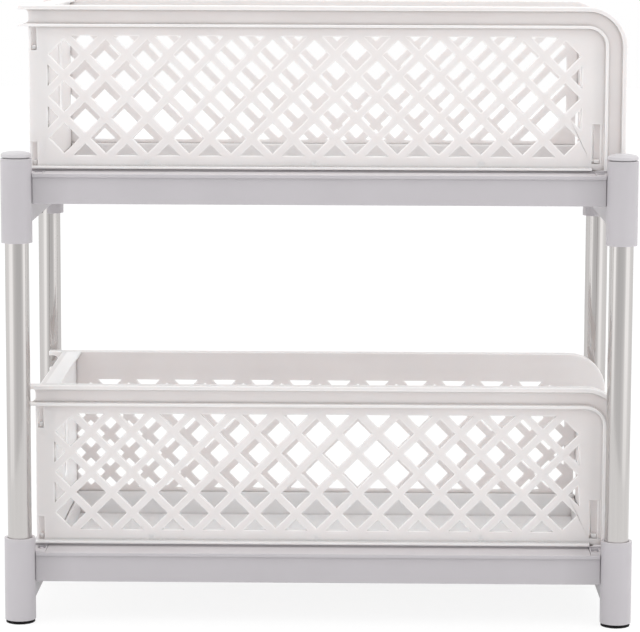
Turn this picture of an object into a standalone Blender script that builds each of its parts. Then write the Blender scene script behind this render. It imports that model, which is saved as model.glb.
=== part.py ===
"""Two-tier rack with two pull-out lattice baskets, in metres, +Z up.

X runs along the rack (the baskets pull out towards -X), Y runs from the near rail to the far
rail, and the origin is on the floor, midway between the four feet.
"""

import math

import bmesh
import bpy
from mathutils import Vector

# Posts: four chrome tubes that join the two tier frames
POST_SPACING_X = 0.380
POST_SPACING_Y = 0.192
TUBE_LENGTH = 0.2388
TUBE_RADIUS = 0.00765
TUBE_WALL = 0.0008

# Tier frame: sleeves that hold the tubes, and the beams between them
SLEEVE_LENGTH = 0.0530
SLEEVE_WALL = 0.00195
SLEEVE_WEB = 0.0025
SLEEVE_WEB_HEIGHT = 0.0245
SOCKET_CLEARANCE = 0.0003
BEAM_WALL = 0.0020
RAIL_BOTTOM = 0.0244
RAIL_HEIGHT = 0.0191
RAIL_WIDTH = 0.0255
RAIL_OVERHANG = 0.0010
RAIL_INNER_WALL_HEIGHT = 0.0120
RAIL_LIP_HEIGHT = 0.0024
RAIL_LIP_DEPTH = 0.0018
RAIL_RIBS = 7
RAIL_RIB_THICKNESS = 0.0015
RUNNING_RIB_WIDTH = 0.0022
RUNNING_RIB_HEIGHT = 0.0012
CORNER_BLOCK_LENGTH = 0.0059
CORNER_POCKET_WIDTH = 0.0050
CORNER_POCKET_DEPTH = 0.0025
CORNER_POCKET_START = 0.0775
CORNER_POCKET_REACH = 0.0093
CORNER_STUD_RADIUS = 0.0013
CORNER_STUD_DROP = 0.0004
SLEEVE_SLOT_WIDTH = 0.0060
SLEEVE_SLOT_START = 0.0004
TONGUE_LENGTH = 0.0130
TONGUE_CLEARANCE = 0.0004
END_BEAM_BOTTOM = 0.0126
END_BEAM_HEIGHT = 0.0180
END_BEAM_WIDTH = 0.0105
END_BEAM_SET_IN = 0.0090
END_BEAM_POCKETS = 4

# Feet and caps: plugs pressed into the free ends of the sleeves
FOOT_HEIGHT = 0.0018
FOOT_INSET = 0.0006
CAP_INSET = 0.0002
CAP_GAP = 0.0007
CAP_RIM_HEIGHT = 0.0019
CAP_DOME_HEIGHT = 0.0021
PLUG_LENGTH = 0.0080
PLUG_CLEARANCE = 0.0004

# Basket: two side panels, a pull panel, a back panel and a floor tray
BASKET_WALL = 0.0020
SIDE_HEIGHT = 0.1031
PULL_EDGE_INSET = 0.0068
BACK_EDGE_OUTSET = 0.0044
FLANGE_DEPTH = 0.0060
RIM_THICKNESS = 0.0028
FLANGE_THICKNESS = 0.0018
CHANNEL_HEIGHT = 0.0089
CORNER_RADIUS = 0.0250
LIP_LENGTH = 0.0062
LIP_FILLET = 0.0030
RUNNER_THICKNESS = 0.0015
SLOT_SET_IN = 0.0016
SLOT_WIDTH = 0.0035
SLOT_HEIGHT = 0.0151
HOOK_HEIGHT = 0.0034
HOOK_RECESS = 0.0012
LATCH_WIDTH = 0.0053
LATCH_BOTTOM = 0.0040
LATCH_HEIGHT = 0.0252
LATCH_GAP = 0.0012
LATCH_RECESS = 0.0013
LATCH_CATCH = 0.0026

# Lattice of square holes standing on their corners
LATTICE_PITCH = 0.0264
LATTICE_STRAND = 0.0050
WINDOW_BOTTOM = 0.00825
WINDOW_HEIGHT = 0.0755
WINDOW_PULL_MARGIN = 0.0119
WINDOW_BACK_MARGIN = 0.0279
FIRST_ROW_HEIGHT = 0.0109
FIRST_COLUMN = 0.0104
BACK_WINDOW_MARGIN = 0.0170

# Pull panel, back panel and floor tray
PULL_WALL = 0.0015
PULL_WALL_INSET = 0.0110
PULL_TOP_OVERLAP = 0.0032
PULL_TOP_REACH = 0.0080
PULL_CURL = 0.0035
GRIP_WIDTH = 0.0240
GRIP_HEIGHT = 0.0500
GRIP_BOTTOM = 0.0290
GRIP_RADIUS = 0.0100
BACK_WALL_INSET = 0.0180
BACK_HEIGHT = 0.0780
BACK_FLANGE = 0.0052
SIDE_FLANGE_SET_IN = 0.0035
BACK_MARGIN = 0.0070
FLOOR_DROP = 0.0100
TRAY_SIDE_RISE = 0.0055
TRAY_END_RISE = 0.0030
TRAY_RIB_DEPTH = 0.0012
TRAY_RIB_WIDTH = 0.0015
PEG_RADIUS = 0.0014
PEG_CLEARANCE = 0.0003
PEG_SPACING = 0.1060
PEG_HEIGHT = 0.0035
PEG_REACH = 0.0010
STOP_DEPTH = 0.0052
STOP_THICKNESS = 0.0020

# Fits
SEAT_GAP = 0.0003
TRAY_CLEARANCE = 0.0018
HOME_CLEARANCE = 0.0020
PULL_TRAVEL = 0.1680
STOP_CLEARANCE = 0.0025
TIERS = ("lower", "upper")
BASKET_REST_X = {"lower": 0.0012, "upper": -0.0010}

# Facets of round pieces
ROUND_SIDES = 24
PLUG_SIDES = 16
ARC_STEPS = 8
FILLET_STEPS = 3

# Values that follow from the sizes above
SLEEVE_RADIUS = TUBE_RADIUS + SOCKET_CLEARANCE + SLEEVE_WALL
BORE_RADIUS = TUBE_RADIUS + SOCKET_CLEARANCE
PLUG_RADIUS = BORE_RADIUS - PLUG_CLEARANCE
TIER_PITCH = TUBE_LENGTH + 2 * SEAT_GAP + SLEEVE_WEB
FRAME_BASE = FOOT_HEIGHT + SEAT_GAP
POST_X = POST_SPACING_X / 2
POST_Y = POST_SPACING_Y / 2
RAIL_OUTER_Y = POST_Y + RAIL_OVERHANG
RAIL_INNER_Y = RAIL_OUTER_Y - RAIL_WIDTH
RAIL_TOP = RAIL_BOTTOM + RAIL_HEIGHT
BLOCK_X = POST_X - SLEEVE_RADIUS - CORNER_BLOCK_LENGTH
END_BEAM_INNER_X = POST_X - END_BEAM_SET_IN
RUNNER_Z = RAIL_TOP + RUNNING_RIB_HEIGHT + SEAT_GAP
TRAY_Y = RAIL_INNER_Y - TRAY_CLEARANCE
PANEL_INNER_Y = TRAY_Y + SEAT_GAP
PANEL_OUTER_Y = PANEL_INNER_Y + BASKET_WALL
FLANGE_Y = PANEL_OUTER_Y + FLANGE_DEPTH
PULL_EDGE_X = -(POST_X - PULL_EDGE_INSET)
BACK_EDGE_X = POST_X + BACK_EDGE_OUTSET
INNER_FLANGE_OFFSET = RIM_THICKNESS + CHANNEL_HEIGHT
INNER_FLANGE_BOTTOM = SIDE_HEIGHT - INNER_FLANGE_OFFSET - FLANGE_THICKNESS
WINDOW_X = (PULL_EDGE_X + WINDOW_PULL_MARGIN, BACK_EDGE_X - WINDOW_BACK_MARGIN)
WINDOW_Z = (WINDOW_BOTTOM, WINDOW_BOTTOM + WINDOW_HEIGHT)
PULL_WALL_X = (PULL_EDGE_X + PULL_WALL_INSET, PULL_EDGE_X + PULL_WALL_INSET + PULL_WALL)
BACK_WALL_X = (BACK_EDGE_X - BACK_WALL_INSET - BASKET_WALL, BACK_EDGE_X - BACK_WALL_INSET)
TRAY_X = (PULL_WALL_X[1] + SEAT_GAP, BACK_WALL_X[0] - SEAT_GAP)
TRAY_BOTTOM = -FLOOR_DROP - BASKET_WALL
SIDE_FLANGE_Y = TRAY_Y - SIDE_FLANGE_SET_IN
PEG_X = [sum(WINDOW_X) / 2 + step * PEG_SPACING for step in (-1, 0, 1)]

FINISHES = {
    "frame_plastic": ((0.58, 0.56, 0.58), 0.0, 0.42),
    "basket_plastic": ((0.80, 0.77, 0.75), 0.0, 0.38),
    "chrome": ((0.80, 0.79, 0.77), 1.0, 0.18),
    "cap_plastic": ((0.72, 0.70, 0.72), 0.0, 0.28),
    "rubber": ((0.02, 0.02, 0.02), 0.0, 0.75),
}


def remove_everything():
    for obj in list(bpy.data.objects):
        bpy.data.objects.remove(obj)


def finish(piece, kind):
    """A material of the piece's own, from the table of finishes."""
    color, metallic, roughness = FINISHES[kind]
    material = bpy.data.materials.new(f"{piece.name}_{kind}")
    material.use_nodes = True
    shader = material.node_tree.nodes["Principled BSDF"]
    shader.inputs["Base Color"].default_value = (*color, 1.0)
    shader.inputs["Metallic"].default_value = metallic
    shader.inputs["Roughness"].default_value = roughness
    piece.data.materials.append(material)
    return piece


def object_from(name, mesh_builder):
    """Turn a bmesh into an object whose faces point out."""
    bmesh.ops.recalc_face_normals(mesh_builder, faces=mesh_builder.faces)
    mesh = bpy.data.meshes.new(name)
    mesh_builder.to_mesh(mesh)
    mesh_builder.free()
    obj = bpy.data.objects.new(name, mesh)
    bpy.context.scene.collection.objects.link(obj)
    return obj


def empty(name, location):
    holder = bpy.data.objects.new(name, None)
    holder.location = location
    bpy.context.scene.collection.objects.link(holder)
    return holder


def add_prism(mesh_builder, outline, start, end, plane):
    """Add an outline, given in a plane such as XZ, extruded from start to end across it."""
    across = ({"X", "Y", "Z"} - set(plane)).pop()
    ends = []
    for level in (start, end):
        corners = []
        for first, second in outline:
            place = {plane[0]: first, plane[1]: second, across: level}
            corners.append(mesh_builder.verts.new((place["X"], place["Y"], place["Z"])))
        ends.append(corners)
    mesh_builder.faces.new(ends[0])
    mesh_builder.faces.new(list(reversed(ends[1])))
    for index in range(len(outline)):
        after = (index + 1) % len(outline)
        side = (ends[0][index], ends[1][index], ends[1][after], ends[0][after])
        mesh_builder.faces.new(side)


def prisms(name, outlines, start, end, plane):
    """One object with a prism for each outline."""
    mesh_builder = bmesh.new()
    for outline in outlines:
        add_prism(mesh_builder, outline, start, end, plane)
    return object_from(name, mesh_builder)


def rectangle(low_u, high_u, low_v, high_v):
    return [(low_u, low_v), (high_u, low_v), (high_u, high_v), (low_u, high_v)]


def boxes(name, extents):
    """One object with a box for each extent, given as (x, x, y, y, z, z)."""
    mesh_builder = bmesh.new()
    for x0, x1, y0, y1, z0, z1 in extents:
        add_prism(mesh_builder, rectangle(x0, x1, y0, y1), z0, z1, "XY")
    return object_from(name, mesh_builder)


def add_turned(mesh_builder, profile, sides, center=(0.0, 0.0, 0.0)):
    """Add a closed profile of (radius, height) points, turned about a vertical axis."""
    rings = []
    for radius, height in profile:
        if radius == 0.0:
            rings.append([mesh_builder.verts.new(Vector(center) + Vector((0, 0, height)))])
            continue
        ring = []
        for step in range(sides):
            angle = 2 * math.pi * step / sides
            place = Vector((radius * math.cos(angle), radius * math.sin(angle), height))
            ring.append(mesh_builder.verts.new(Vector(center) + place))
        rings.append(ring)
    for index, ring in enumerate(rings):
        following = rings[(index + 1) % len(rings)]
        if len(ring) == 1 and len(following) == 1:
            continue
        for step in range(sides):
            after = (step + 1) % sides
            corners = [ring[step % len(ring)], ring[after % len(ring)]]
            for vertex in (following[after % len(following)], following[step % len(following)]):
                if vertex not in corners:
                    corners.append(vertex)
            mesh_builder.faces.new(list(dict.fromkeys(corners)))


def turned(name, profile, sides):
    mesh_builder = bmesh.new()
    add_turned(mesh_builder, profile, sides)
    piece = object_from(name, mesh_builder)
    piece.data.shade_smooth()
    piece.data.set_sharp_from_angle(angle=math.radians(35))
    return piece


def combine(target, tool, operation):
    """Join a tool shape to the target, or cut it away, and keep the tool as a guide."""
    boolean = target.modifiers.new(f"{operation.lower()}_{tool.name}", "BOOLEAN")
    boolean.operation = operation
    boolean.object = tool
    boolean.solver = "EXACT"
    tool.hide_render = True
    tool.display_type = "WIRE"
    tool.parent = target
    return target


def arc(center, radius, start_degrees, end_degrees, steps):
    points = []
    for step in range(steps + 1):
        angle = math.radians(start_degrees + (end_degrees - start_degrees) * step / steps)
        across = center[0] + radius * math.cos(angle)
        up = center[1] + radius * math.sin(angle)
        points.append((across, up))
    return points


def clipped(outline, low_u, high_u, low_v, high_v):
    """The part of a convex outline that lies inside a rectangle."""
    for axis, limit, keep_above in ((0, low_u, True), (0, high_u, False),
                                    (1, low_v, True), (1, high_v, False)):
        kept = []
        for index, point in enumerate(outline):
            before = outline[index - 1]
            inside = point[axis] >= limit if keep_above else point[axis] <= limit
            was_inside = before[axis] >= limit if keep_above else before[axis] <= limit
            if inside != was_inside:
                share = (limit - before[axis]) / (point[axis] - before[axis])
                kept.append(tuple(b + share * (p - b) for b, p in zip(before, point)))
            if inside:
                kept.append(point)
        outline = kept
    return outline


def outline_area(outline):
    total = 0.0
    for index, (u, v) in enumerate(outline):
        before = outline[index - 1]
        total += before[0] * v - u * before[1]
    return abs(total) / 2


def lattice_holes(across, up):
    """Outlines of the lattice's square holes, each on its corner, clipped to the window.

    A hole that a corner of the window would cut on two sides is left out.
    """
    half = (LATTICE_PITCH - LATTICE_STRAND * math.sqrt(2)) / 2
    smallest = LATTICE_STRAND ** 2 / 8
    holes = []
    rows = math.ceil((up[1] - up[0]) / LATTICE_PITCH) * 2 + 2
    columns = math.ceil((across[1] - across[0]) / LATTICE_PITCH) + 1
    for row in range(-1, rows):
        middle_v = up[0] + FIRST_ROW_HEIGHT + row * LATTICE_PITCH / 2
        shift = FIRST_COLUMN if row % 2 == 0 else FIRST_COLUMN - LATTICE_PITCH / 2
        for column in range(columns):
            middle_u = across[0] + shift + column * LATTICE_PITCH
            past_side = middle_u - half < across[0] or middle_u + half > across[1]
            past_edge = middle_v - half < up[0] or middle_v + half > up[1]
            if past_side and past_edge:
                continue
            hole = [(middle_u + half, middle_v), (middle_u, middle_v + half),
                    (middle_u - half, middle_v), (middle_u, middle_v - half)]
            hole = clipped(hole, *across, *up)
            if len(hole) > 2 and outline_area(hole) > smallest:
                holes.append(hole)
    return holes


def sleeve_profile_bores():
    """Heights of the two sockets of a sleeve, below and above its web."""
    web_top = SLEEVE_WEB_HEIGHT + SLEEVE_WEB
    return ((-SEAT_GAP, SLEEVE_WEB_HEIGHT), (web_top, SLEEVE_LENGTH + SEAT_GAP))


def running_rib_limits():
    """Across limits of the rib that a basket's flange runs on."""
    middle = (PANEL_OUTER_Y + FLANGE_Y) / 2
    return middle - RUNNING_RIB_WIDTH / 2, middle + RUNNING_RIB_WIDTH / 2


def rail_outline():
    """Hollow section of a long beam in YZ: ledge, running rib, lip and face."""
    under = RAIL_TOP - BEAM_WALL
    inner_bottom = RAIL_TOP - RAIL_INNER_WALL_HEIGHT
    rib = running_rib_limits()
    outline = face_outline()[:-2]
    outline += [(rib[1], RAIL_TOP), (rib[1], RAIL_TOP + RUNNING_RIB_HEIGHT),
                (rib[0], RAIL_TOP + RUNNING_RIB_HEIGHT), (rib[0], RAIL_TOP),
                (RAIL_INNER_Y, RAIL_TOP), (RAIL_INNER_Y, inner_bottom),
                (RAIL_INNER_Y + BEAM_WALL, inner_bottom), (RAIL_INNER_Y + BEAM_WALL, under),
                (RAIL_OUTER_Y - BEAM_WALL, under), (RAIL_OUTER_Y - BEAM_WALL, RAIL_BOTTOM)]
    return outline


def face_outline():
    """Section of a long beam's face wall with its lip, in YZ."""
    lip_y = RAIL_OUTER_Y + RAIL_LIP_DEPTH
    lip_bottom = RAIL_TOP - RAIL_LIP_HEIGHT
    return [(RAIL_OUTER_Y, RAIL_BOTTOM), (RAIL_OUTER_Y, lip_bottom),
            (lip_y, lip_bottom + RAIL_LIP_HEIGHT / 8), (lip_y, RAIL_TOP),
            (RAIL_OUTER_Y - BEAM_WALL, RAIL_TOP), (RAIL_OUTER_Y - BEAM_WALL, RAIL_BOTTOM)]


def block_outline():
    """Solid section of a corner block in YZ; the beam's face wall laps over it."""
    outer = RAIL_OUTER_Y - BEAM_WALL - SEAT_GAP
    rib = running_rib_limits()
    return [(outer, RAIL_BOTTOM), (outer, RAIL_TOP), (rib[1], RAIL_TOP),
            (rib[1], RAIL_TOP + RUNNING_RIB_HEIGHT), (rib[0], RAIL_TOP + RUNNING_RIB_HEIGHT),
            (rib[0], RAIL_TOP), (RAIL_INNER_Y, RAIL_TOP), (RAIL_INNER_Y, RAIL_BOTTOM)]


def on_side(outline, side):
    """A YZ outline on the near (-1) or far (1) side of the rack."""
    return [(side * y, z) for y, z in outline]


def long_rail(name, side, tier):
    """Long beam of a tier: open below with cross ribs; its face laps over the corner blocks."""
    half = BLOCK_X - SEAT_GAP
    face_half = POST_X - SLEEVE_RADIUS - SEAT_GAP
    rail = prisms(name, [on_side(rail_outline(), side)], -half, half, "YZ")
    face = prisms(f"{name}_face", [on_side(face_outline(), side)], -face_half, face_half, "YZ")
    combine(rail, face, "UNION")
    reach = half - TONGUE_LENGTH - RAIL_RIB_THICKNESS * 2
    rib_y = sorted((side * (RAIL_INNER_Y + BEAM_WALL / 2), side * (RAIL_OUTER_Y - BEAM_WALL / 2)))
    rib_z = (RAIL_TOP - RAIL_INNER_WALL_HEIGHT, RAIL_TOP - BEAM_WALL / 2)
    extents = []
    for index in range(RAIL_RIBS):
        middle = reach * (2 * index / (RAIL_RIBS - 1) - 1)
        extents.append((middle - RAIL_RIB_THICKNESS / 2, middle + RAIL_RIB_THICKNESS / 2,
                        *rib_y, *rib_z))
    combine(rail, boxes(f"{name}_ribs", extents), "UNION")
    rail.parent = tier
    return finish(rail, "frame_plastic")


def end_beam_pockets(name, toward_middle):
    """Hollows under an end beam that leave its walls and cross webs."""
    clear = POST_Y - SLEEVE_RADIUS - BEAM_WALL
    pitch = (2 * clear + BEAM_WALL) / END_BEAM_POCKETS
    inner = toward_middle * (END_BEAM_SET_IN - BEAM_WALL)
    outer = toward_middle * (END_BEAM_SET_IN - END_BEAM_WIDTH + BEAM_WALL)
    extents = []
    for index in range(END_BEAM_POCKETS):
        start = -clear + index * pitch
        extents.append((*sorted((inner, outer)), start, start + pitch - BEAM_WALL,
                        END_BEAM_BOTTOM - SEAT_GAP, END_BEAM_BOTTOM + END_BEAM_HEIGHT - BEAM_WALL))
    return boxes(name, extents)


def sleeve_slots(name, outward):
    """Slots under the end beam, in the walls that face each other, so the sockets can give."""
    x_limits = sorted((outward * SLEEVE_SLOT_START, outward * SLEEVE_SLOT_WIDTH))
    inside, outside = POST_Y - TUBE_RADIUS / 2, POST_Y - SLEEVE_RADIUS - BEAM_WALL
    extents = []
    for across in (-1, 1):
        y_limits = sorted((across * inside, across * outside))
        extents.append((*x_limits, *y_limits, -SEAT_GAP, END_BEAM_BOTTOM - SLEEVE_SLOT_START))
    return boxes(name, extents)


def pocket_middle_x(toward_middle):
    """Middle of a corner pocket along the rack, from the post."""
    past_sleeve = SLEEVE_RADIUS + CORNER_POCKET_WIDTH / 2
    return toward_middle * past_sleeve


def corner_pockets(name, toward_middle):
    """Round-ended pockets in the corner blocks, beside the sleeves."""
    middle = pocket_middle_x(toward_middle)
    radius = CORNER_POCKET_WIDTH / 2
    round_y = CORNER_POCKET_START + CORNER_POCKET_REACH - radius
    outlines = []
    for across in (-1, 1):
        outline = [(middle + radius, across * CORNER_POCKET_START)]
        outline += [(x, across * y) for x, y in arc((middle, round_y), radius, 0, 180, ARC_STEPS)]
        outline.append((middle - radius, across * CORNER_POCKET_START))
        outlines.append(outline)
    return prisms(name, outlines, RAIL_TOP - CORNER_POCKET_DEPTH, RAIL_TOP + BEAM_WALL, "XY")


def corner_studs(name, toward_middle):
    """Small studs that stand in the corner pockets."""
    middle = pocket_middle_x(toward_middle)
    low, high = RAIL_TOP - CORNER_POCKET_DEPTH - BEAM_WALL, RAIL_TOP - CORNER_STUD_DROP
    radius = CORNER_STUD_RADIUS
    profile = [(0.0, low), (radius, low), (radius, high), (0.0, high)]
    stud_y = CORNER_POCKET_START + CORNER_POCKET_REACH / 2
    mesh_builder = bmesh.new()
    for across in (-1, 1):
        add_turned(mesh_builder, profile, 10, (middle, across * stud_y, 0.0))
    return object_from(name, mesh_builder)


def end_frame(name, side, tier):
    """Two sleeves, the dropped beam between them, and the corner blocks that take the rails."""
    toward_middle = -side
    outer = [(0.0, 0.0), (SLEEVE_RADIUS, 0.0), (SLEEVE_RADIUS, SLEEVE_LENGTH), (0.0, SLEEVE_LENGTH)]
    mesh_builder = bmesh.new()
    for along in (-POST_Y, POST_Y):
        add_turned(mesh_builder, outer, ROUND_SIDES, (0.0, along, 0.0))
    frame = object_from(name, mesh_builder)
    beam_x = sorted((toward_middle * END_BEAM_SET_IN,
                     toward_middle * (END_BEAM_SET_IN - END_BEAM_WIDTH)))
    beam = boxes(f"{name}_beam", [(*beam_x, -POST_Y, POST_Y, END_BEAM_BOTTOM,
                                   END_BEAM_BOTTOM + END_BEAM_HEIGHT)])
    combine(frame, beam, "UNION")
    block_start = toward_middle * (POST_X - BLOCK_X)
    block_end = toward_middle * END_BEAM_SET_IN / 2
    tongue_end = block_start + toward_middle * TONGUE_LENGTH
    for label, across in (("near", -1), ("far", 1)):
        block = prisms(f"{name}_{label}_block", [on_side(block_outline(), across)],
                       block_start, block_end, "YZ")
        combine(frame, block, "UNION")
        tongue_y = sorted((across * (RAIL_INNER_Y + BEAM_WALL + TONGUE_CLEARANCE),
                           across * (RAIL_OUTER_Y - BEAM_WALL - TONGUE_CLEARANCE)))
        tongue = boxes(f"{name}_{label}_tongue",
                       [(*sorted((block_start - toward_middle * BEAM_WALL, tongue_end)), *tongue_y,
                         RAIL_TOP - RAIL_INNER_WALL_HEIGHT, RAIL_TOP - BEAM_WALL - SEAT_GAP)])
        combine(frame, tongue, "UNION")
    combine(frame, sleeve_slots(f"{name}_slots", side), "DIFFERENCE")
    combine(frame, corner_pockets(f"{name}_corner_pockets", toward_middle), "DIFFERENCE")
    combine(frame, corner_studs(f"{name}_corner_studs", toward_middle), "UNION")
    mesh_builder = bmesh.new()
    for along in (-POST_Y, POST_Y):
        for low, high in sleeve_profile_bores():
            bore = [(0.0, low), (BORE_RADIUS, low), (BORE_RADIUS, high), (0.0, high)]
            add_turned(mesh_builder, bore, ROUND_SIDES, (0.0, along, 0.0))
    combine(frame, object_from(f"{name}_sockets", mesh_builder), "DIFFERENCE")
    combine(frame, end_beam_pockets(f"{name}_pockets", toward_middle), "DIFFERENCE")
    frame.location = (side * POST_X, 0.0, 0.0)
    frame.parent = tier
    return finish(frame, "frame_plastic")


def post_tube(name, place):
    inner = TUBE_RADIUS - TUBE_WALL
    profile = [(TUBE_RADIUS, 0.0), (TUBE_RADIUS, TUBE_LENGTH), (inner, TUBE_LENGTH), (inner, 0.0)]
    tube = turned(name, profile, ROUND_SIDES)
    tube.location = (*place, FRAME_BASE + SLEEVE_WEB_HEIGHT + SLEEVE_WEB + SEAT_GAP)
    return finish(tube, "chrome")


def foot(name, place):
    """Rubber disc under a lower sleeve, with the plug that holds it there."""
    radius = SLEEVE_RADIUS - FOOT_INSET
    profile = [(0.0, 0.0), (radius, 0.0), (radius, FOOT_HEIGHT), (PLUG_RADIUS, FOOT_HEIGHT),
               (PLUG_RADIUS, FOOT_HEIGHT + PLUG_LENGTH), (0.0, FOOT_HEIGHT + PLUG_LENGTH)]
    piece = turned(name, profile, PLUG_SIDES)
    piece.location = (*place, 0.0)
    return finish(piece, "rubber")


def sleeve_cap(name, place):
    """Domed cap on top of an upper sleeve; its underside is at height zero."""
    radius = SLEEVE_RADIUS - CAP_INSET
    top = CAP_RIM_HEIGHT + CAP_DOME_HEIGHT
    profile = [(0.0, -PLUG_LENGTH), (PLUG_RADIUS, -PLUG_LENGTH), (PLUG_RADIUS, 0.0), (radius, 0.0),
               (radius, CAP_RIM_HEIGHT)]
    for degrees in (30, 60):
        angle = math.radians(degrees)
        profile.append((radius * math.cos(angle), CAP_RIM_HEIGHT + CAP_DOME_HEIGHT * math.sin(angle)))
    profile.append((0.0, top))
    piece = turned(name, profile, PLUG_SIDES)
    piece.location = (*place, FRAME_BASE + TIER_PITCH + SLEEVE_LENGTH + CAP_GAP)
    return finish(piece, "cap_plastic")


def rim_path(offset):
    """Line of a flange from its lip, along the rim, round the corner and down the back edge."""
    radius = CORNER_RADIUS - offset
    center = (BACK_EDGE_X - CORNER_RADIUS, SIDE_HEIGHT - CORNER_RADIUS)
    path = [(PULL_EDGE_X - LIP_LENGTH, SIDE_HEIGHT - offset)]
    path += arc(center, radius, 90, 0, ARC_STEPS)
    path.append((BACK_EDGE_X - offset, 0.0))
    return path


def plate_outline():
    """Side panel's plate: scooped between the two lips, with the big corner at the back."""
    high = SIDE_HEIGHT - RIM_THICKNESS / 2
    low = SIDE_HEIGHT - INNER_FLANGE_OFFSET - FLANGE_THICKNESS / 2
    fillet_x = PULL_EDGE_X - LIP_FILLET
    top_z = SIDE_HEIGHT - RIM_THICKNESS - LIP_FILLET
    bottom_z = SIDE_HEIGHT - INNER_FLANGE_OFFSET + LIP_FILLET
    outline = [(PULL_EDGE_X, 0.0), (PULL_EDGE_X, low), (fillet_x, low)]
    outline += arc((fillet_x, bottom_z), LIP_FILLET, -90, 0, FILLET_STEPS)
    outline += arc((fillet_x, top_z), LIP_FILLET, 0, 90, FILLET_STEPS)
    outline.append((fillet_x, high))
    inner = RIM_THICKNESS / 2
    center = (BACK_EDGE_X - CORNER_RADIUS, SIDE_HEIGHT - CORNER_RADIUS)
    outline += arc(center, CORNER_RADIUS - inner, 90, 0, ARC_STEPS)
    outline.append((BACK_EDGE_X - inner, 0.0))
    return outline


def latch_places():
    """Across-the-panel limits of the latch slot, its thin bar and the narrow slot behind."""
    flange = BACK_EDGE_X - INNER_FLANGE_OFFSET - FLANGE_THICKNESS
    narrow = (flange - LATCH_GAP, flange)
    wide = (narrow[0] - LATCH_GAP - LATCH_WIDTH, narrow[0] - LATCH_GAP)
    return wide, narrow


def hook_slots():
    """Across and upright limits of the two slots that take the pull panel's hooks."""
    across = (PULL_EDGE_X + SLOT_SET_IN, PULL_EDGE_X + SLOT_SET_IN + SLOT_WIDTH)
    lower = (RUNNER_THICKNESS, RUNNER_THICKNESS + SLOT_HEIGHT)
    upper = (INNER_FLANGE_BOTTOM - SLOT_HEIGHT, INNER_FLANGE_BOTTOM)
    return [(*across, *lower), (*across, *upper)]


def side_panel(name, side, basket):
    """Lattice side of a basket with its channel rim, runner flange, notches and latch."""
    inside, outside = side * PANEL_INNER_Y, side * PANEL_OUTER_Y
    into_plate = side * (PANEL_OUTER_Y - BASKET_WALL / 2)
    edge = side * FLANGE_Y
    panel = prisms(name, [plate_outline()], inside, outside, "XZ")
    for label, offset, thickness in (("rim", 0.0, RIM_THICKNESS),
                                     ("inner", INNER_FLANGE_OFFSET, FLANGE_THICKNESS)):
        band = rim_path(offset) + list(reversed(rim_path(offset + thickness)))
        start = inside if offset == 0.0 else into_plate
        flange = prisms(f"{name}_{label}_flange", [band], start, edge, "XZ")
        combine(panel, flange, "UNION")
    wide, narrow = latch_places()
    runner = prisms(f"{name}_runner", [rectangle(PULL_EDGE_X, wide[0], 0.0, RUNNER_THICKNESS)],
                    into_plate, edge, "XZ")
    combine(panel, runner, "UNION")
    beyond = side * BASKET_WALL
    openings = lattice_holes(WINDOW_X, WINDOW_Z)
    openings += [rectangle(*limits) for limits in hook_slots()]
    openings += [rectangle(*limits, LATCH_BOTTOM, LATCH_BOTTOM + LATCH_HEIGHT)
                 for limits in (wide, narrow)]
    cutter = prisms(f"{name}_openings", openings, inside - beyond, outside + beyond / 2, "XZ")
    combine(panel, cutter, "DIFFERENCE")
    peg_hole = PEG_RADIUS + PEG_CLEARANCE
    sockets = [arc((x, PEG_HEIGHT), peg_hole, 0, 315, 7) for x in PEG_X]
    socket_end = side * (PANEL_INNER_Y + PEG_REACH + PEG_CLEARANCE)
    cutter = prisms(f"{name}_peg_sockets", sockets, inside - beyond, socket_end, "XZ")
    combine(panel, cutter, "DIFFERENCE")
    panel.parent = basket
    return finish(panel, "basket_plastic")


def rounded_rectangle(low_u, high_u, low_v, high_v, radius):
    outline = []
    for u, v, start in ((high_u - radius, high_v - radius, 0), (low_u + radius, high_v - radius, 90),
                        (low_u + radius, low_v + radius, 180), (high_u - radius, low_v + radius, 270)):
        outline += arc((u, v), radius, start, start + 90, FILLET_STEPS)
    return outline


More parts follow.
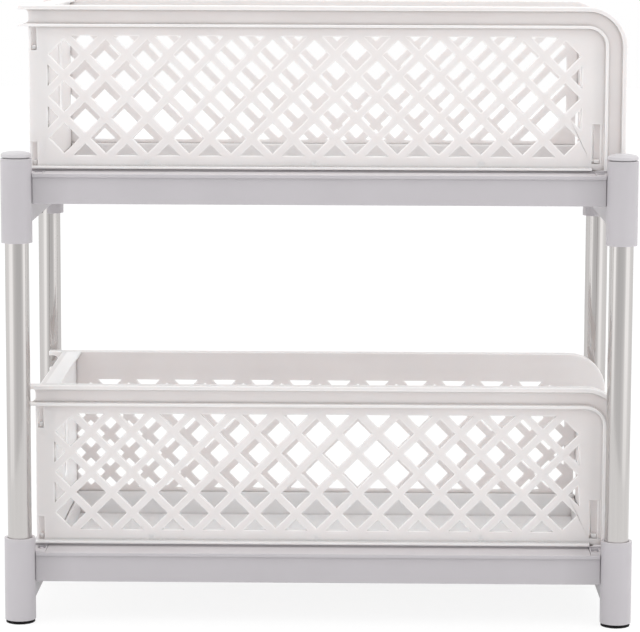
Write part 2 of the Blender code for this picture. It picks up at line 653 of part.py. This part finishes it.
def pull_panel(name, basket):
    """End that is pulled: wall with a grip opening, curled top flange, side flanges and hooks."""
    wall_x0, wall_x1 = PULL_WALL_X
    panel = boxes(name, [(wall_x0, wall_x1, -TRAY_Y, TRAY_Y, TRAY_BOTTOM, SIDE_HEIGHT)])
    tip = wall_x0 - PULL_TOP_REACH
    top = SIDE_HEIGHT - FLANGE_THICKNESS
    curl = [(wall_x1 + PULL_TOP_OVERLAP, SIDE_HEIGHT), (tip, SIDE_HEIGHT),
            (tip, SIDE_HEIGHT - PULL_CURL), (tip + FLANGE_THICKNESS, SIDE_HEIGHT - PULL_CURL),
            (tip + FLANGE_THICKNESS, top), (wall_x1 + PULL_TOP_OVERLAP, top)]
    combine(panel, prisms(f"{name}_top", [curl], -TRAY_Y, TRAY_Y, "XZ"), "UNION")
    flanges = []
    hooks = []
    edge = PULL_EDGE_X + SEAT_GAP
    for side in (-1, 1):
        flange_y = sorted((side * SIDE_FLANGE_Y, side * (SIDE_FLANGE_Y - BASKET_WALL)))
        flanges.append((edge, wall_x1 - PULL_WALL / 2, *flange_y, 0.0, top - PULL_CURL))
        hook_y = sorted((side * (SIDE_FLANGE_Y - BASKET_WALL / 2), side * (PANEL_OUTER_Y - HOOK_RECESS)))
        for start, end, low, high in hook_slots():
            hooks.append((start + SEAT_GAP, end - SEAT_GAP, *hook_y,
                          low + SEAT_GAP, low + HOOK_HEIGHT))
    combine(panel, boxes(f"{name}_flanges", flanges), "UNION")
    combine(panel, boxes(f"{name}_hooks", hooks), "UNION")
    grip = rounded_rectangle(-GRIP_WIDTH / 2, GRIP_WIDTH / 2, GRIP_BOTTOM,
                             GRIP_BOTTOM + GRIP_HEIGHT, GRIP_RADIUS)
    cutter = prisms(f"{name}_grip", [grip], wall_x0 - BASKET_WALL, wall_x1 + BASKET_WALL, "YZ")
    combine(panel, cutter, "DIFFERENCE")
    panel.parent = basket
    return finish(panel, "basket_plastic")


def back_panel(name, basket):
    """Lower end wall with its own lattice, side flanges, latch catches and the home stop."""
    wall_x0, wall_x1 = BACK_WALL_X
    panel = boxes(name, [(wall_x0, wall_x1, -TRAY_Y, TRAY_Y, TRAY_BOTTOM, BACK_HEIGHT)])
    slot = latch_places()[0]
    flanges = []
    reliefs = []
    catches = []
    for side in (-1, 1):
        flange_y = sorted((side * SIDE_FLANGE_Y, side * (SIDE_FLANGE_Y - BASKET_WALL)))
        flanges.append((wall_x1 - BASKET_WALL / 2, wall_x1 + BACK_FLANGE, *flange_y,
                        0.0, BACK_HEIGHT))
        relief_y = sorted((side * SIDE_FLANGE_Y, side * (TRAY_Y + SEAT_GAP)))
        reliefs.append((wall_x0 - SEAT_GAP, wall_x1 + SEAT_GAP, *relief_y,
                        LATCH_BOTTOM, LATCH_BOTTOM + LATCH_HEIGHT))
        catch_y = sorted((side * (SIDE_FLANGE_Y - BASKET_WALL / 2), side * (PANEL_OUTER_Y - LATCH_RECESS)))
        catches.append((max(slot[0], wall_x0) + SEAT_GAP, slot[1] - SEAT_GAP, *catch_y,
                        LATCH_BOTTOM + SEAT_GAP, LATCH_BOTTOM + LATCH_CATCH))
    combine(panel, boxes(f"{name}_reliefs", reliefs), "DIFFERENCE")
    combine(panel, boxes(f"{name}_flanges", flanges), "UNION")
    combine(panel, boxes(f"{name}_catches", catches), "UNION")
    stop_y = TRAY_Y - BASKET_WALL
    stop = boxes(f"{name}_home_stop", [(wall_x0, END_BEAM_INNER_X - HOME_CLEARANCE, -stop_y, stop_y,
                                        TRAY_BOTTOM - STOP_DEPTH, TRAY_BOTTOM + BASKET_WALL)])
    combine(panel, stop, "UNION")
    half_window = TRAY_Y - BACK_WINDOW_MARGIN
    holes = lattice_holes((-half_window, half_window), (WINDOW_BOTTOM, BACK_HEIGHT - BACK_MARGIN))
    cutter = prisms(f"{name}_lattice", holes, wall_x0 - BASKET_WALL, wall_x1 + BASKET_WALL, "YZ")
    combine(panel, cutter, "DIFFERENCE")
    panel.parent = basket
    return finish(panel, "basket_plastic")


def add_peg(mesh_builder, x, side):
    """Peg from the tray's side flange into its hole in the side panel."""
    start = side * (TRAY_Y - BASKET_WALL / 2)
    end = side * (PANEL_INNER_Y + PEG_REACH)
    add_prism(mesh_builder, arc((x, PEG_HEIGHT), PEG_RADIUS, 0, 315, 7), start, end, "XZ")


def floor_tray(name, basket):
    """Sunk floor with upturned edges, pegs into the sides, ribs and a stop underneath."""
    low, high = TRAY_BOTTOM, -FLOOR_DROP
    tray = boxes(name, [(*TRAY_X, -TRAY_Y, TRAY_Y, low, TRAY_SIDE_RISE)])
    inner_y = TRAY_Y - BASKET_WALL
    inner_x = (TRAY_X[0] + BASKET_WALL, TRAY_X[1] - BASKET_WALL)
    hollow = boxes(f"{name}_hollow", [(*inner_x, -inner_y, inner_y, high, SIDE_HEIGHT)])
    combine(tray, hollow, "DIFFERENCE")
    ends = []
    for start, end in ((TRAY_X[0] - BASKET_WALL, inner_x[0]), (inner_x[1], TRAY_X[1] + BASKET_WALL)):
        ends.append((start, end, -inner_y, inner_y, TRAY_END_RISE, SIDE_HEIGHT))
    combine(tray, boxes(f"{name}_lowered_ends", ends), "DIFFERENCE")
    mesh_builder = bmesh.new()
    for side in (-1, 1):
        for x in PEG_X:
            add_peg(mesh_builder, x, side)
    combine(tray, object_from(f"{name}_pegs", mesh_builder), "UNION")
    into_floor = low + BASKET_WALL / 2
    stop_x = -END_BEAM_INNER_X + PULL_TRAVEL + STOP_CLEARANCE
    stop = boxes(f"{name}_pull_stop", [(stop_x, stop_x + STOP_THICKNESS, -inner_y, inner_y,
                                        low - STOP_DEPTH, into_floor)])
    combine(tray, stop, "UNION")
    along = []
    for y in (-inner_y / 2, inner_y / 2):
        along.append((*inner_x, y - TRAY_RIB_WIDTH / 2, y + TRAY_RIB_WIDTH / 2,
                      low - TRAY_RIB_DEPTH, into_floor))
    combine(tray, boxes(f"{name}_ribs", along), "UNION")
    tray.parent = basket
    return finish(tray, "basket_plastic")


def build_posts():
    for across, side_x in (("left", -1), ("right", 1)):
        for depth, side_y in (("near", -1), ("far", 1)):
            place = (side_x * POST_X, side_y * POST_Y)
            post_tube(f"tube_{depth}_{across}", place)
            foot(f"foot_{depth}_{across}", place)
            sleeve_cap(f"cap_{depth}_{across}", place)


def build_tier(tier_name, index):
    tier = empty(f"{tier_name}_tier", (0.0, 0.0, FRAME_BASE + index * TIER_PITCH))
    end_frame(f"{tier_name}_end_frame_left", -1, tier)
    end_frame(f"{tier_name}_end_frame_right", 1, tier)
    long_rail(f"{tier_name}_rail_near", -1, tier)
    long_rail(f"{tier_name}_rail_far", 1, tier)
    basket = empty(f"{tier_name}_basket_slide", (BASKET_REST_X[tier_name], 0.0, RUNNER_Z))
    basket.parent = tier
    side_panel(f"{tier_name}_basket_side_near", -1, basket)
    side_panel(f"{tier_name}_basket_side_far", 1, basket)
    pull_panel(f"{tier_name}_basket_pull_panel", basket)
    back_panel(f"{tier_name}_basket_back_panel", basket)
    floor_tray(f"{tier_name}_basket_floor", basket)


def main():
    remove_everything()
    build_posts()
    for index, tier_name in enumerate(TIERS):
        build_tier(tier_name, index)


main()
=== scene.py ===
"""Looks for the tiered rack with pull-out lattice baskets: finishes, soft edges, studio and camera."""

import math

import bpy
from mathutils import Matrix, Vector

WHITE = (1.0, 1.0, 1.0)
WHOLE = (0.0, 1.0)

# Camera that matches the photograph, in metres and degrees
CAMERA_PLACE = (0.02542, -1.90729, 0.44334)
CAMERA_PITCH_DOWN = 7.705
CAMERA_YAW = 0.775
CAMERA_ROLL = 0.204
CAMERA_LENS = 163.125
CAMERA_CLIP = (0.05, 50.0)
SENSOR_WIDTH = 36.0

# Softened edges of the pieces, in metres, with the angle in degrees from which an edge is softened
SEAM_GAP = 0.00001
EDGE_ANGLE = 35.0
EDGE_SEGMENTS = 2
FACE_WEIGHT = 100
BASKET_EDGE = 0.00045
FRAME_EDGE = 0.00055
RAIL_EDGE = 0.00020
SMALL_EDGE = 0.00030

# Finishes. Mottle: noise scale and how far its shades lie from the colour. Gloss: noise scale,
# lowest and highest roughness. Grain: noise scale, strength and height in metres. Glow: how much
# light passes below the surface and how far, in metres, for red, green and blue.
BASKET_LOOK = {
    "color": (0.968, 0.938, 0.934),
    "mottle": (28.0, 0.012),
    "gloss": (140.0, 0.30, 0.44),
    "grain": (900.0, 0.05, 0.0002),
    "glow": (0.9, (0.0028, 0.0026, 0.0025)),
}
FRAME_LOOK = {
    "color": (0.645, 0.615, 0.630),
    "mottle": (22.0, 0.015),
    "gloss": (110.0, 0.36, 0.50),
    "grain": (1100.0, 0.08, 0.0002),
    "glow": (0.35, (0.0012, 0.0012, 0.0012)),
}
CAP_LOOK = {
    "color": (0.640, 0.620, 0.640),
    "mottle": (60.0, 0.015),
    "gloss": (150.0, 0.24, 0.36),
}
FOOT_LOOK = {
    "color": (0.006, 0.0055, 0.006),
    "mottle": (300.0, 0.10),
    "grain": (1500.0, 0.15, 0.0003),
}
FOOT_ROUGHNESS = 0.70
FOOT_SPECULAR = 0.2
MOTTLE_SPAN = (0.35, 0.65)
MOTTLE_DETAIL = 3.0
GRAIN_DETAIL = 2.0

# Plated posts: faint draw lines along the tube
CHROME_COLOR = (0.565, 0.545, 0.535)
CHROME_SPREAD = 0.02
CHROME_ROUGHNESS = (0.07, 0.13)
LINE_SCALE = 700.0
LINE_STRETCH = (1.0, 1.0, 0.02)
LINE_SPAN = (0.30, 0.70)

# Painted shade: darkening painted into the colour in narrow recesses, where shade falls, with its
# reach in metres
PROBE_SAMPLES = 4
RECESS_REACH = 0.004
RECESS_SPAN = (0.15, 0.66)
PAINTED_RECESS_SHADE = (0.42, 0.39, 0.37)

# Painted highlight on the basket plastic: its faces are painted darker than its paler thin edges, with
# the width of these in metres
EDGE_REACH = 0.0009
EDGE_SPAN = (0.55, 0.95)
PAINTED_FACE_SHADE = (0.836, 0.838, 0.838)

# Painted light inside the lower basket, which stays pale without the painted face shade: limits from
# just outside to just inside, in metres
INSIDE_HALF_WIDTH = (0.0700, 0.0692)
INSIDE_HALF_LENGTH = (0.1760, 0.1750)
INSIDE_TOP = (0.200, 0.199)

# Frame plastic: painted shade on upright faces against the paler level tops
TOP_SPAN = (0.5, 0.95)
PAINTED_SIDE_SHADE = (0.86, 0.864, 0.88)

# Painted shade on the long rails towards their ends, next to the sleeves, with distances from the
# middle in metres
END_SPAN = (0.156, 0.180)
PAINTED_END_SHADE = (0.84, 0.84, 0.84)

# Surroundings: levels from the horizon (0) to straight up (1)
SKY_STRENGTH = 2.0
SKY_LEVELS = ((0.0, 0.60), (0.28, 1.14), (0.50, 1.32), (0.80, 1.16), (1.0, 1.10))

# Floor: what it throws back onto the object, and how it looks
FLOOR_SIZE = 12.0
FLOOR_BOUNCE = (0.84, 0.84, 0.84, 1.0)
FLOOR_ROUGHNESS = 0.8
FLOOR_SHOWN = (0.18, 0.18, 0.18, 1.0)
FLOOR_GLOW = 0.86

# Grey card on the camera's side, in metres, with levels from its foot (0) to its top (1)
CARD_ACROSS = (-2.0, 0.84)
CARD_PLACE = (0.0, -1.3, 0.0)
CARD_HEIGHT = 1.2
CARD_LEVELS = ((0.0, 0.86), (0.05, 0.80), (0.10, 0.74), (0.20, 0.74), (1.0, 0.96))

# Ring that only mirrors show, in metres: levels by bearing in degrees, with 0 towards the camera
# and plus to its right, and how far they hold near the floor, where one plain level takes over
RING_STEPS = 96
RING_RADIUS = 0.7
RING_TOP = 1.6
RING_STRENGTH = 1.5
RING_PLAIN = 0.95
RING_FADE_HEIGHT = (0.0, 0.12)
RING_FADE_SHARE = (0.55, 1.0)
RING_LEVELS = (
    (-180, 0.85), (-130, 0.95), (-100, 1.05), (-80, 1.12), (-70, 1.45), (-50, 1.45),
    (-43, 1.05), (-34, 0.88), (-18, 0.74), (18, 0.74), (34, 0.88), (43, 1.05),
    (50, 1.45), (70, 1.45), (80, 1.12), (100, 1.05), (130, 0.95), (180, 0.85))

# Soft lamps: name, place and target in metres, width and height, power in watts
LAMPS = (
    ("key_left", (-2.05, -0.36, 1.0), (-0.19, -0.1, 0.3), (1.5, 3.0), 0.7),
    ("key_right", (2.00, -0.95, 1.0), (0.19, -0.1, 0.3), (1.5, 3.0), 0.7),
    ("top", (0.0, 0.0, 2.2), (0.0, 0.0, 0.2), (2.0, 1.6), 2.8),
)


def feed(tree, socket, value):
    """Link a socket to the output of a node, or set the value of its own."""
    if isinstance(value, bpy.types.NodeSocket):
        tree.links.new(value, socket)
    else:
        socket.default_value = value


def calculate(tree, operation, first, second=0.0, clamp=False):
    """Result of a sum, product or other operation on one or two values."""
    node = tree.nodes.new("ShaderNodeMath")
    node.operation = operation
    node.use_clamp = clamp
    feed(tree, node.inputs[0], first)
    feed(tree, node.inputs[1], second)
    return node.outputs[0]


def part_along(tree, vector, axis):
    """One component of a vector."""
    node = tree.nodes.new("ShaderNodeSeparateXYZ")
    tree.links.new(vector, node.inputs["Vector"])
    return node.outputs[axis]


def carry(tree, value, source, target=WHOLE):
    """A value carried from one range to another and held at its limits."""
    node = tree.nodes.new("ShaderNodeMapRange")
    node.inputs["From Min"].default_value, node.inputs["From Max"].default_value = source
    node.inputs["To Min"].default_value, node.inputs["To Max"].default_value = target
    tree.links.new(value, node.inputs["Value"])
    return node.outputs["Result"]


def ramp(tree, factor, stops):
    """Colours that follow a factor through stops, each a position and a colour."""
    node = tree.nodes.new("ShaderNodeValToRGB")
    points = node.color_ramp.elements
    while len(points) < len(stops):
        points.new(0.5)
    for point, (position, color) in zip(points, stops):
        point.position = position
        point.color = (*color, 1.0)
    tree.links.new(factor, node.inputs["Fac"])
    return node.outputs["Color"]


def greys(levels, strength=1.0):
    """Ramp stops from grey levels, for a light of the given strength."""
    return [(position, (level / strength,) * 3) for position, level in levels]


def mix_colors(tree, blend, factor, first, second):
    node = tree.nodes.new("ShaderNodeMix")
    node.data_type = "RGBA"
    node.blend_type = blend
    feed(tree, node.inputs["Factor"], factor)
    feed(tree, node.inputs["A"], first)
    feed(tree, node.inputs["B"], second)
    return node.outputs["Result"]


def mix_shaders(tree, factor, first, second):
    node = tree.nodes.new("ShaderNodeMixShader")
    tree.links.new(factor, node.inputs["Fac"])
    tree.links.new(first, node.inputs[1])
    tree.links.new(second, node.inputs[2])
    return node.outputs["Shader"]


def seen_directly(tree):
    """1 for what the camera, gloss and transmission rays see, otherwise 0."""
    path = tree.nodes.new("ShaderNodeLightPath")
    total = path.outputs["Is Camera Ray"]
    for kind in ("Is Glossy Ray", "Is Transmission Ray"):
        total = calculate(tree, "ADD", total, path.outputs[kind], clamp=True)
    return total


def new_material(name):
    material = bpy.data.materials.new(name)
    material.use_nodes = True
    return material


def show(tree, shader):
    """Make a shader the surface of its material."""
    tree.links.new(shader, tree.nodes["Material Output"].inputs["Surface"])


def glowing(name, strength, color_of):
    """Material that only gives off light, in the colour that a function finds in its node tree."""
    material = new_material(name)
    tree = material.node_tree
    glow = tree.nodes.new("ShaderNodeEmission")
    glow.inputs["Strength"].default_value = strength
    tree.links.new(color_of(tree), glow.inputs["Color"])
    show(tree, glow.outputs["Emission"])
    return material


class Finish:
    """A procedural material of the part, with short helpers for its nodes."""

    def __init__(self, name, color):
        self.material = new_material(name)
        self.tree = self.material.node_tree
        self.shader = self.tree.nodes["Principled BSDF"]
        self.color = color
        self.set("Base Color", (*color, 1.0))
        self.place = self.tree.nodes.new("ShaderNodeTexCoord").outputs["Object"]

    def set(self, name, value):
        """Set a socket of the shader, or link it."""
        feed(self.tree, self.shader.inputs[name], value)

    def noise(self, scale, detail, stretch=(1.0, 1.0, 1.0)):
        mapping = self.tree.nodes.new("ShaderNodeMapping")
        mapping.inputs["Scale"].default_value = stretch
        self.tree.links.new(self.place, mapping.inputs["Vector"])
        texture = self.tree.nodes.new("ShaderNodeTexNoise")
        texture.inputs["Scale"].default_value = scale
        texture.inputs["Detail"].default_value = detail
        self.tree.links.new(mapping.outputs["Vector"], texture.inputs["Vector"])
        return texture.outputs["Fac"]

    def shades(self, factor, span, spread):
        """The colour in two near shades that follow a factor."""
        darker = tuple(channel * (1 - spread) for channel in self.color)
        lighter = tuple(min(1.0, channel * (1 + spread)) for channel in self.color)
        return ramp(self.tree, factor, list(zip(span, (darker, lighter))))

    def tint(self, color, factor, span, start, end):
        """A colour times another, which goes from start to end as a factor crosses its span."""
        share = ramp(self.tree, carry(self.tree, factor, span), list(zip(WHOLE, (start, end))))
        return mix_colors(self.tree, "MULTIPLY", 1.0, color, share)

    def closeness(self, distance, inside):
        """Open share round a point: low in recesses, or, from inside the wall, low at its edges."""
        probe = self.tree.nodes.new("ShaderNodeAmbientOcclusion")
        probe.inputs["Distance"].default_value = distance
        probe.samples = PROBE_SAMPLES
        probe.inside = inside
        probe.only_local = inside
        return probe.outputs["AO"]

    def reach_along(self, axis):
        """Distance from the middle of the object along one axis, in metres."""
        return calculate(self.tree, "ABSOLUTE", part_along(self.tree, self.place, axis))

    def facing_up(self):
        """Upward part of the surface direction: 1 on level tops, 0 on upright faces."""
        geometry = self.tree.nodes.new("ShaderNodeNewGeometry")
        return part_along(self.tree, geometry.outputs["Normal"], "Z")

    def outside_lower_basket_painted_light(self):
        """0 inside the lower basket, where light is painted, 1 elsewhere."""
        across = carry(self.tree, self.reach_along("Y"), INSIDE_HALF_WIDTH)
        lengthwise = carry(self.tree, self.reach_along("X"), INSIDE_HALF_LENGTH)
        below = carry(self.tree, part_along(self.tree, self.place, "Z"), INSIDE_TOP)
        level = calculate(self.tree, "MULTIPLY", across, lengthwise)
        inside = calculate(self.tree, "MULTIPLY", level, below)
        return calculate(self.tree, "SUBTRACT", 1.0, inside)

    def add_gloss(self, factor, low, high):
        """Roughness that follows a factor."""
        self.set("Roughness", carry(self.tree, factor, WHOLE, (low, high)))

    def add_grain(self, scale, strength, height):
        bump = self.tree.nodes.new("ShaderNodeBump")
        bump.inputs["Strength"].default_value = strength
        bump.inputs["Distance"].default_value = height
        self.tree.links.new(self.noise(scale, GRAIN_DETAIL), bump.inputs["Height"])
        self.set("Normal", bump.outputs["Normal"])

    def add_glow(self, weight, reach):
        self.set("Subsurface Weight", weight)
        self.set("Subsurface Radius", reach)
        self.set("Subsurface Scale", 1.0)


def moulded(name, look):
    """Finish of a moulded piece from its table, and the mottled colour to go on with."""
    finish = Finish(name, look["color"])
    scale, spread = look["mottle"]
    tone = finish.shades(finish.noise(scale, MOTTLE_DETAIL), MOTTLE_SPAN, spread)
    if "gloss" in look:
        scale, low, high = look["gloss"]
        finish.add_gloss(finish.noise(scale, GRAIN_DETAIL), low, high)
    if "grain" in look:
        finish.add_grain(*look["grain"])
    if "glow" in look:
        finish.add_glow(*look["glow"])
    return finish, tone


def basket_plastic():
    """Warm white plastic: faint cloudiness, soft gloss, a little light through it, painted shade in
    recesses, a painted highlight on thin edges and painted light inside the lower basket.
    """
    finish, tone = moulded("basket_white_plastic", BASKET_LOOK)
    # painted shade: darker in slots, gaps and corners
    recess = finish.closeness(RECESS_REACH, inside=False)
    tone = finish.tint(tone, recess, RECESS_SPAN, PAINTED_RECESS_SHADE, WHITE)
    # painted highlight: thin edges stay paler while the faces are painted darker
    edge_highlight = carry(finish.tree, finish.closeness(EDGE_REACH, inside=True), EDGE_SPAN)
    # painted light: the inside of the lower basket is left out of the painted face shade
    faces = calculate(finish.tree, "MULTIPLY", edge_highlight, finish.outside_lower_basket_painted_light())
    tone = finish.tint(tone, faces, WHOLE, WHITE, PAINTED_FACE_SHADE)
    finish.set("Base Color", tone)
    return finish.material


def frame_plastic(name, shaded_ends):
    """Pale grey plastic with a satin grain, painted shade on upright faces against the level tops and,
    where asked for, painted shade towards the ends.
    """
    finish, tone = moulded(name, FRAME_LOOK)
    # painted shade on upright faces; level tops stay paler
    tone = finish.tint(tone, finish.facing_up(), TOP_SPAN, PAINTED_SIDE_SHADE, WHITE)
    if shaded_ends:
        # painted shade towards the rail ends next to the sleeves
        tone = finish.tint(tone, finish.reach_along("X"), END_SPAN, WHITE, PAINTED_END_SHADE)
    finish.set("Base Color", tone)
    return finish.material


def cap_plastic():
    """Lighter grey plastic of the sleeve caps."""
    finish, tone = moulded("cap_grey_plastic", CAP_LOOK)
    finish.set("Base Color", tone)
    return finish.material


def foot_rubber():
    """Black rubber of the feet."""
    finish, tone = moulded("foot_black_rubber", FOOT_LOOK)
    finish.set("Base Color", tone)
    finish.set("Roughness", FOOT_ROUGHNESS)
    finish.set("Specular IOR Level", FOOT_SPECULAR)
    return finish.material


def chrome():
    """Plated steel of the posts, with a slight warm cast."""
    finish = Finish("post_chrome_plate", CHROME_COLOR)
    finish.set("Metallic", 1.0)
    lines = finish.noise(LINE_SCALE, GRAIN_DETAIL, LINE_STRETCH)
    finish.set("Base Color", finish.shades(lines, LINE_SPAN, CHROME_SPREAD))
    finish.add_gloss(lines, *CHROME_ROUGHNESS)
    return finish.material


def soften(node, width):
    """Round the edges of a CAD node with modifiers; its own mesh stays as it is."""
    weld = node.modifiers.new("join_seams", "WELD")
    weld.merge_threshold = SEAM_GAP
    bevel = node.modifiers.new("soft_edges", "BEVEL")
    bevel.width = width
    bevel.segments = EDGE_SEGMENTS
    bevel.limit_method = "ANGLE"
    bevel.angle_limit = math.radians(EDGE_ANGLE)
    bevel.use_clamp_overlap = True
    flatten = node.modifiers.new("flat_faces", "WEIGHTED_NORMAL")
    flatten.mode = "FACE_AREA"
    flatten.weight = FACE_WEIGHT
    flatten.keep_sharp = False
    node.data.shade_smooth()


def dress(frame, word, material, width):
    """Give a material and soft edges to the CAD nodes whose names hold a word."""
    for name, node in sorted(frame["nodes"].items()):
        if word in name:
            node.data.materials.clear()
            node.data.materials.append(material)
            soften(node, width)


def dress_all(frame):
    dress(frame, "_basket_", basket_plastic(), BASKET_EDGE)
    dress(frame, "_end_frame_", frame_plastic("frame_grey_plastic", False), FRAME_EDGE)
    dress(frame, "_rail_", frame_plastic("rail_grey_plastic", True), RAIL_EDGE)
    dress(frame, "cap_", cap_plastic(), SMALL_EDGE)
    dress(frame, "tube_", chrome(), SMALL_EDGE)
    dress(frame, "foot_", foot_rubber(), SMALL_EDGE)


def add_object(name, data):
    thing = bpy.data.objects.new(name, data)
    bpy.context.scene.collection.objects.link(thing)
    return thing


def add_mesh(name, points, faces, material):
    mesh = bpy.data.meshes.new(name)
    mesh.from_pydata(points, [], faces)
    mesh.materials.append(material)
    return add_object(name, mesh)


def floor_material():
    """White to the camera, but with the object's shadow; a plain pale surface to other rays."""
    material = new_material("floor_pale")
    tree = material.node_tree
    bounce = tree.nodes["Principled BSDF"]
    bounce.inputs["Base Color"].default_value = FLOOR_BOUNCE
    bounce.inputs["Roughness"].default_value = FLOOR_ROUGHNESS
    shown = tree.nodes.new("ShaderNodeBsdfDiffuse")
    shown.inputs["Color"].default_value = FLOOR_SHOWN
    white = tree.nodes.new("ShaderNodeEmission")
    white.inputs["Color"].default_value = (*WHITE, 1.0)
    white.inputs["Strength"].default_value = FLOOR_GLOW
    lit = tree.nodes.new("ShaderNodeAddShader")
    tree.links.new(shown.outputs["BSDF"], lit.inputs[0])
    tree.links.new(white.outputs["Emission"], lit.inputs[1])
    show(tree, mix_shaders(tree, seen_directly(tree), bounce.outputs["BSDF"], lit.outputs["Shader"]))
    return material


def add_floor():
    half = FLOOR_SIZE / 2
    points = [(-half, -half, 0), (half, -half, 0), (half, half, 0), (-half, half, 0)]
    add_mesh("floor", points, [(0, 1, 2, 3)], floor_material())


def set_world():
    """Pale surroundings that change with height, shown as white."""
    world = bpy.data.worlds.new("studio")
    bpy.context.scene.world = world
    world.use_nodes = True
    tree = world.node_tree
    way = tree.nodes.new("ShaderNodeTexCoord").outputs["Generated"]
    sky = ramp(tree, part_along(tree, way, "Z"), greys(SKY_LEVELS, SKY_STRENGTH))
    ambient = tree.nodes["Background"]
    tree.links.new(sky, ambient.inputs["Color"])
    ambient.inputs["Strength"].default_value = SKY_STRENGTH
    backdrop = tree.nodes.new("ShaderNodeBackground")
    backdrop.inputs["Color"].default_value = (*WHITE, 1.0)
    backdrop.inputs["Strength"].default_value = 1.0
    shader = mix_shaders(tree, seen_directly(tree), ambient.outputs["Background"],
                         backdrop.outputs["Background"])
    tree.links.new(shader, tree.nodes["World Output"].inputs["Surface"])


def card_color(tree):
    place = tree.nodes.new("ShaderNodeTexCoord").outputs["Generated"]
    return ramp(tree, part_along(tree, place, "Z"), greys(CARD_LEVELS))


def add_card():
    """Upright card between object and camera that only lights, darker than the surroundings."""
    low, high = CARD_ACROSS
    points = [(low, 0, 0), (high, 0, 0), (high, 0, CARD_HEIGHT), (low, 0, CARD_HEIGHT)]
    card = add_mesh("camera_side_card", points, [(0, 1, 2, 3)], glowing("card_grey", 1.0, card_color))
    card.location = CARD_PLACE
    card.visible_camera = False
    card.visible_shadow = False
    card.visible_glossy = False


def ring_color(tree):
    """Bands by bearing, which go over to one plain level near the floor."""
    place = tree.nodes.new("ShaderNodeTexCoord").outputs["Object"]
    toward_camera = calculate(tree, "MULTIPLY", part_along(tree, place, "Y"), -1.0)
    bearing = calculate(tree, "ARCTAN2", part_along(tree, place, "X"), toward_camera)
    levels = [(0.5 + angle / 360.0, level) for angle, level in RING_LEVELS]
    bands = ramp(tree, carry(tree, bearing, (-math.pi, math.pi)), greys(levels, RING_STRENGTH))
    height = part_along(tree, place, "Z")
    share = carry(tree, height, RING_FADE_HEIGHT, RING_FADE_SHARE)
    plain = (*[RING_PLAIN / RING_STRENGTH] * 3, 1.0)
    return mix_colors(tree, "MIX", share, plain, bands)


def add_ring():
    """Upright ring of light and dark bands round the object that only mirrors show."""
    steps = range(RING_STEPS)
    angles = [2 * math.pi * step / RING_STEPS for step in steps]
    points = [(RING_RADIUS * math.sin(a), -RING_RADIUS * math.cos(a), z)
              for z in (0.0, RING_TOP) for a in angles]
    faces = [(i, (i + 1) % RING_STEPS, RING_STEPS + (i + 1) % RING_STEPS, RING_STEPS + i)
             for i in steps]
    ring = add_mesh("mirror_ring", points, faces, glowing("ring_bands", RING_STRENGTH, ring_color))
    ring.visible_camera = False
    ring.visible_diffuse = False
    ring.visible_transmission = False
    ring.visible_shadow = False


def add_lamps():
    """Large soft lamps that face their targets."""
    for name, place, target, size, power in LAMPS:
        lamp = bpy.data.lights.new(name, "AREA")
        lamp.shape = "RECTANGLE"
        lamp.size, lamp.size_y = size
        lamp.energy = power
        light = add_object(name, lamp)
        light.location = place
        light.rotation_mode = "QUATERNION"
        light.rotation_quaternion = (Vector(target) - Vector(place)).to_track_quat("-Z", "Y")


def add_camera():
    data = bpy.data.cameras.new("camera")
    data.lens = CAMERA_LENS
    data.sensor_width = SENSOR_WIDTH
    data.sensor_fit = "HORIZONTAL"
    data.clip_start, data.clip_end = CAMERA_CLIP
    camera = add_object("camera", data)
    turn = Matrix.Rotation(math.radians(CAMERA_YAW), 4, "Z")
    tilt = Matrix.Rotation(math.radians(90.0 - CAMERA_PITCH_DOWN), 4, "X")
    roll = Matrix.Rotation(math.radians(CAMERA_ROLL), 4, "Z")
    camera.matrix_world = Matrix.Translation(CAMERA_PLACE) @ turn @ tilt @ roll
    bpy.context.scene.camera = camera


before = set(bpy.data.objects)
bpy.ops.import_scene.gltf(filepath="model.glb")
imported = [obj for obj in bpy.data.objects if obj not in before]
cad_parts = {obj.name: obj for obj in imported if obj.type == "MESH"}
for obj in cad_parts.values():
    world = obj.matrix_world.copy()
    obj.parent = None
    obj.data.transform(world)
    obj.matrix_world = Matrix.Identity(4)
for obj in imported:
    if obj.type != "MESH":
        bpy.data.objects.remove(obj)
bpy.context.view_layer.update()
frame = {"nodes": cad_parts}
dress_all(frame)
add_floor()
set_world()
add_card()
add_ring()
add_lamps()
add_camera()
bpy.context.scene.view_settings.view_transform = "Standard"
